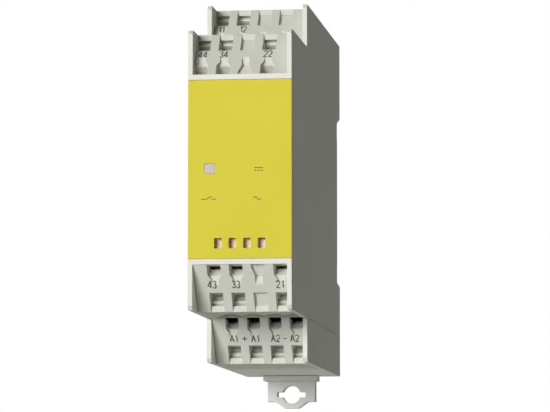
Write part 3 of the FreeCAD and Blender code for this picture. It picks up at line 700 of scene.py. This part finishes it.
class RELAY_OT_build_tongues(Operator):
    """Builds the clamps' tongues that close the wire holes"""

    bl_idname = "relay.build_tongues"
    bl_label = "Build Clamp Tongues"

    def execute(self, context):
        for tier in TIERS:
            low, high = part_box("terminal_block_" + tier)
            toward_inner = -1 if tier.startswith("upper") else 1
            for mount in frame["record"]["mounts"]:
                mouth = Vector(mount["pos_m"])
                inside = low.y < mouth.y < high.y and low.z < mouth.z < high.z
                if inside and mount["name"].startswith("terminal_"):
                    name = mount["name"].replace("terminal", "tongue")
                    build_tongue(name, mouth, toward_inner, tier)
        return {"FINISHED"}


def build_tongue(name, mouth, toward_inner, tier):
    """A bowed strip of spring steel, standing in a wire hole."""
    settings = tongue_settings()
    middle = mouth + Vector((0, settings.depth, toward_inner * settings.inset))
    points = []
    for back in (0, settings.strip):
        for row in range(TONGUE_ROWS + 1):
            share = row / TONGUE_ROWS
            bow = settings.lean * share * share
            rise = toward_inner * settings.height * (share - 0.5)
            for across in (-settings.width / 2, settings.width / 2):
                points.append(middle + Vector((across, bow + back, rise)))
    behind = 2 * (TONGUE_ROWS + 1)
    faces = []
    for row in range(TONGUE_ROWS):
        a = 2 * row
        b = a + behind
        faces += [(a, a + 1, a + 3, a + 2), (b, b + 2, b + 3, b + 1), (a, a + 2, b + 2, b),
                  (a + 1, b + 1, b + 3, a + 3)]
    last = behind - 2
    faces += [(0, behind, behind + 1, 1), (last, last + 1, last + 1 + behind, last + behind)]
    mesh = closed_mesh(name, points, faces)
    mesh.materials.append(frame["nodes"]["clamp_springs_" + tier].data.materials[0])
    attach(add_piece(name, mesh), "module")


def closed_mesh(name, points, faces):
    """A closed mesh whose faces all look outwards."""
    mesh = bpy.data.meshes.new(name)
    mesh.from_pydata(points, [], faces)
    shape = bmesh.new()
    shape.from_mesh(mesh)
    bmesh.ops.recalc_face_normals(shape, faces=shape.faces)
    shape.to_mesh(mesh)
    shape.free()
    return mesh


def add_piece(name, mesh):
    """Adds a piece, made from a mesh, to the scene."""
    piece = bpy.data.objects.new(name, mesh)
    bpy.context.scene.collection.objects.link(piece)
    return piece


class RELAY_OT_build_spring(Operator):
    """Winds the rail clip's spring as a coil, in place of the CAD spring, which it hides"""

    bl_idname = "relay.build_spring"
    bl_label = "Build Clip Spring"

    def execute(self, context):
        settings = spring_settings()
        low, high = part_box("clip_spring")
        middle = (low + high) / 2
        radius = (high.x - low.x - settings.wire) / 2
        bottom, top = low.z + settings.wire / 2, high.z - settings.wire / 2
        open_pitch = (top - bottom - 2 * settings.closed_pitch) / settings.active_turns
        turns = settings.active_turns + 2

        def height(turn):
            opened = min(max(turn - 1, 0), settings.active_turns)
            return bottom + (turn - opened) * settings.closed_pitch + opened * open_pitch

        path = []
        for step in range(round(turns * COIL_STEPS) + 1):
            turn = step / COIL_STEPS
            x = middle.x + radius * math.cos(math.tau * turn)
            y = middle.y + radius * math.sin(math.tau * turn)
            path.append(Vector((x, y, height(turn))))
        mesh = wire_mesh("clip_coil", path, settings.wire / 2)
        mesh.materials.append(frame["nodes"]["clip_spring"].data.materials[0])
        coil = add_piece("clip_coil", mesh)
        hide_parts("clip_spring")
        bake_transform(coil)
        return {"FINISHED"}


def wire_mesh(name, path, radius):
    """Round wire along a path that winds about Z."""
    points = []
    for index, centre in enumerate(path):
        before, after = path[max(index - 1, 0)], path[min(index + 1, len(path) - 1)]
        along = (after - before).normalized()
        side = along.cross(Vector((0, 0, 1))).normalized()
        rise = side.cross(along)
        for corner in range(WIRE_SIDES):
            angle = math.tau * corner / WIRE_SIDES
            points.append(centre + (side * math.cos(angle) + rise * math.sin(angle)) * radius)
    faces = []
    for index in range(len(path) - 1):
        for corner in range(WIRE_SIDES):
            a = index * WIRE_SIDES + corner
            b = index * WIRE_SIDES + (corner + 1) % WIRE_SIDES
            faces.append((a, b, b + WIRE_SIDES, a + WIRE_SIDES))
    last = (len(path) - 1) * WIRE_SIDES
    faces += [tuple(range(WIRE_SIDES)), tuple(range(last, last + WIRE_SIDES))]
    mesh = closed_mesh(name, points, faces)
    for face in mesh.polygons:
        face.use_smooth = len(face.vertices) == 4
    return mesh


class RELAY_OT_print_numbers(Operator):
    """Prints the terminal numbers on the blocks' sloped faces"""

    bl_idname = "relay.print_numbers"
    bl_label = "Print Terminal Numbers"

    def execute(self, context):
        settings = print_settings()
        ink = printed_ink("number_ink", finish_settings().ink_colour)
        places = {
            "upper_front": settings.upper_place, "upper_rear": settings.upper_place,
            "lower_front": settings.lower_front_place, "lower_rear": settings.lower_rear_place,
        }
        for tier in TIERS:
            inner, outer = face_of_block(tier)
            span = Vector((0, outer[0] - inner[0], outer[1] - inner[1]))
            up = span.normalized() if tier.startswith("upper") else -span.normalized()
            across = Vector((1, 0, 0))
            share = places[tier] / abs(span.z)
            for count, (text, pole, offset) in enumerate(NUMBERS[tier], 1):
                place = Matrix((across, up, across.cross(up))).transposed().to_4x4()
                foot = Vector((pole_x(tier, pole) + offset * MM, *inner))
                place.translation = foot + span * share
                lay_print(f"number_{tier}_{count}", text_strokes(text, settings.number_height),
                          settings.stroke, place, "terminal_block_" + tier, ink)
        return {"FINISHED"}


class RELAY_OT_print_signs(Operator):
    """Prints the contact sign and the supply signs on the front panel"""

    bl_idname = "relay.print_signs"
    bl_label = "Print Panel Signs"

    def execute(self, context):
        settings = print_settings()
        ink = printed_ink("panel_ink", finish_settings().panel_ink_colour)
        low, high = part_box("front_panel")
        for name, (strokes, (x, z)) in SIGNS.items():
            place = Matrix(((1, 0, 0), (0, 0, 1), (0, -1, 0))).transposed().to_4x4()
            middle = (low + high) / 2
            place.translation = (middle.x + x * MM, low.y, middle.z + z * MM)
            lines = [[(a * MM, b * MM) for a, b in stroke] for stroke in strokes]
            lay_print("sign_" + name, lines, settings.sign_stroke, place, "front_panel", ink)
        return {"FINISHED"}


class RELAY_OT_build_studio(Operator):
    """Sets the floor, the lamps, the room's light and the camera"""

    bl_idname = "relay.build_studio"
    bl_label = "Build Studio"

    def execute(self, context):
        settings = studio_settings()
        scene = context.scene
        scene.view_settings.view_transform = "Standard"
        low, high = [Vector(corner) for corner in cad_box]
        aim = (low + high) / 2 + Vector(settings.aim_offset)
        floor_height = low.z - settings.floor_drop
        add_floor(floor_height)
        add_room(settings.room_strength)
        add_sun("key_lamp", KEY_DIRECTION, settings.key_strength, KEY_SPREAD)
        add_sun("back_lamp", BACK_DIRECTION, settings.back_strength, BACK_SPREAD)
        add_bounce(aim, floor_height, settings.bounce_power)
        add_camera(aim, settings)
        return {"FINISHED"}


def add_floor(height):
    """A wide pale floor, which is clear from below so that it never hides the module."""
    half = FLOOR_WIDTH / 2
    mesh = bpy.data.meshes.new("floor")
    outline = [(-half, -half), (half, -half), (half, half), (-half, half)]
    mesh.from_pydata([(x, y, height) for x, y in outline], [], [(0, 1, 2, 3)])
    floor = bpy.data.objects.new("floor", mesh)
    bpy.context.scene.collection.objects.link(floor)
    shader = Shader("floor_paper")
    cloud = shader.noise(FLOOR_CLOUD_SIZE, detail=3)
    shader.feed("Base Color", shader.tinted(FLOOR_COLOUR, cloud, low=0.98, high=1.0))
    shader.fix("Roughness", 0.9)
    shader.fix("Emission Color", (1, 1, 1, 1))
    shader.feed("Emission Strength", seen_level(shader.tree, FLOOR_GLOW))
    below = shader.node("ShaderNodeMixShader")
    shader.link(shader.node("ShaderNodeNewGeometry").outputs["Backfacing"], below.inputs["Fac"])
    shader.link(shader.surface.outputs["BSDF"], below.inputs[1])
    shader.link(shader.node("ShaderNodeBsdfTransparent").outputs["BSDF"], below.inputs[2])
    shader.link(below.outputs["Shader"], shader.output.inputs["Surface"])
    mesh.materials.append(shader.material)


def seen_level(tree, high, low=0.0):
    """A level that is high for the camera, gloss and clear plastic, and low for other light."""
    path = tree.nodes.new("ShaderNodeLightPath")
    seen = path.outputs["Is Camera Ray"]
    for ray in ("Is Glossy Ray", "Is Transmission Ray"):
        either = tree.nodes.new("ShaderNodeMath")
        either.operation = "MAXIMUM"
        tree.links.new(seen, either.inputs[0])
        tree.links.new(path.outputs[ray], either.inputs[1])
        seen = either.outputs["Value"]
    level = tree.nodes.new("ShaderNodeMapRange")
    level.inputs["To Min"].default_value = low
    level.inputs["To Max"].default_value = high
    tree.links.new(seen, level.inputs["Value"])
    return level.outputs["Result"]


def add_room(strength):
    """Even room light; the camera, gloss and clear plastic see a white room."""
    world = bpy.data.worlds.new("room")
    world.use_nodes = True
    bpy.context.scene.world = world
    tree = world.node_tree
    background = tree.nodes["Background"]
    background.inputs["Color"].default_value = (1, 1, 1, 1)
    tree.links.new(seen_level(tree, 1.0, strength), background.inputs["Strength"])


def add_sun(name, direction, strength, spread):
    """A distant soft lamp that shines from a direction; spread is in degrees."""
    lamp = bpy.data.lights.new(name, "SUN")
    lamp.energy = strength
    lamp.angle = math.radians(spread)
    sun = bpy.data.objects.new(name, lamp)
    sun.rotation_euler = Vector(direction).to_track_quat("Z", "Y").to_euler()
    bpy.context.scene.collection.objects.link(sun)


def add_bounce(aim, floor_height, power):
    """A wide panel just above the floor that throws light up at the module's underside."""
    lamp = bpy.data.lights.new("bounce_lamp", "AREA")
    lamp.shape = "DISK"
    lamp.size = BOUNCE_SIZE
    lamp.energy = power
    panel = bpy.data.objects.new("bounce_lamp", lamp)
    panel.location = (aim.x, aim.y + BOUNCE_BEHIND, floor_height + BOUNCE_LIFT)
    panel.rotation_euler = (panel.location - aim).to_track_quat("Z", "Y").to_euler()
    panel.visible_camera = False
    bpy.context.scene.collection.objects.link(panel)


def add_camera(aim, settings):
    """The camera, looking at a point from the settings' angles and distance."""
    camera_data = bpy.data.cameras.new("camera")
    camera_data.lens = settings.lens
    camera_data.sensor_width = SENSOR_WIDTH
    camera_data.clip_start = CAMERA_NEAREST
    camera = bpy.data.objects.new("camera", camera_data)
    level = math.cos(settings.elevation)
    toward = Vector((level * math.sin(settings.azimuth), -level * math.cos(settings.azimuth),
                     math.sin(settings.elevation)))
    camera.location = aim + toward * settings.distance
    camera.rotation_euler = toward.to_track_quat("Z", "Y").to_euler()
    bpy.context.scene.collection.objects.link(camera)
    bpy.context.scene.camera = camera


# ---------------------------------------------------------------- panel and registration
STEPS = (
    RELAY_OT_finish_housing,
    RELAY_OT_finish_panel,
    RELAY_OT_finish_terminals,
    RELAY_OT_finish_windows,
    RELAY_OT_finish_inside,
    RELAY_OT_build_tongues,
    RELAY_OT_build_spring,
    RELAY_OT_print_numbers,
    RELAY_OT_print_signs,
    RELAY_OT_build_studio,
)


class RELAY_PT_studio(Panel):
    """Sidebar panel with the module's settings and steps"""

    bl_idname = "RELAY_PT_studio"
    bl_label = "Relay Module"
    bl_space_type = "VIEW_3D"
    bl_region_type = "UI"
    bl_category = "Relay"

    def draw(self, context):
        for group in (finish_settings(), tongue_settings(), spring_settings(), print_settings(),
                      studio_settings()):
            column = self.layout.column(align=True)
            for name in group.__annotations__:
                column.prop(group, name)
        for step in STEPS:
            self.layout.operator(step.bl_idname)


GROUPS = (RelayFinishSettings, RelayTongueSettings, RelaySpringSettings, RelayPrintSettings,
          RelayStudioSettings)
CLASSES = GROUPS + STEPS + (RELAY_PT_studio,)


def register():
    for cls in CLASSES:
        bpy.utils.register_class(cls)
    bpy.types.Scene.relay_finish = PointerProperty(type=RelayFinishSettings)
    bpy.types.Scene.relay_tongues = PointerProperty(type=RelayTongueSettings)
    bpy.types.Scene.relay_spring = PointerProperty(type=RelaySpringSettings)
    bpy.types.Scene.relay_print = PointerProperty(type=RelayPrintSettings)
    bpy.types.Scene.relay_studio = PointerProperty(type=RelayStudioSettings)


def unregister():
    del bpy.types.Scene.relay_finish
    del bpy.types.Scene.relay_tongues
    del bpy.types.Scene.relay_spring
    del bpy.types.Scene.relay_print
    del bpy.types.Scene.relay_studio
    for cls in reversed(CLASSES):
        bpy.utils.unregister_class(cls)


def main():
    register()
    for step in STEPS:
        area, name = step.bl_idname.split(".")
        getattr(getattr(bpy.ops, area), name)()


if __name__ == "__main__":
    main()
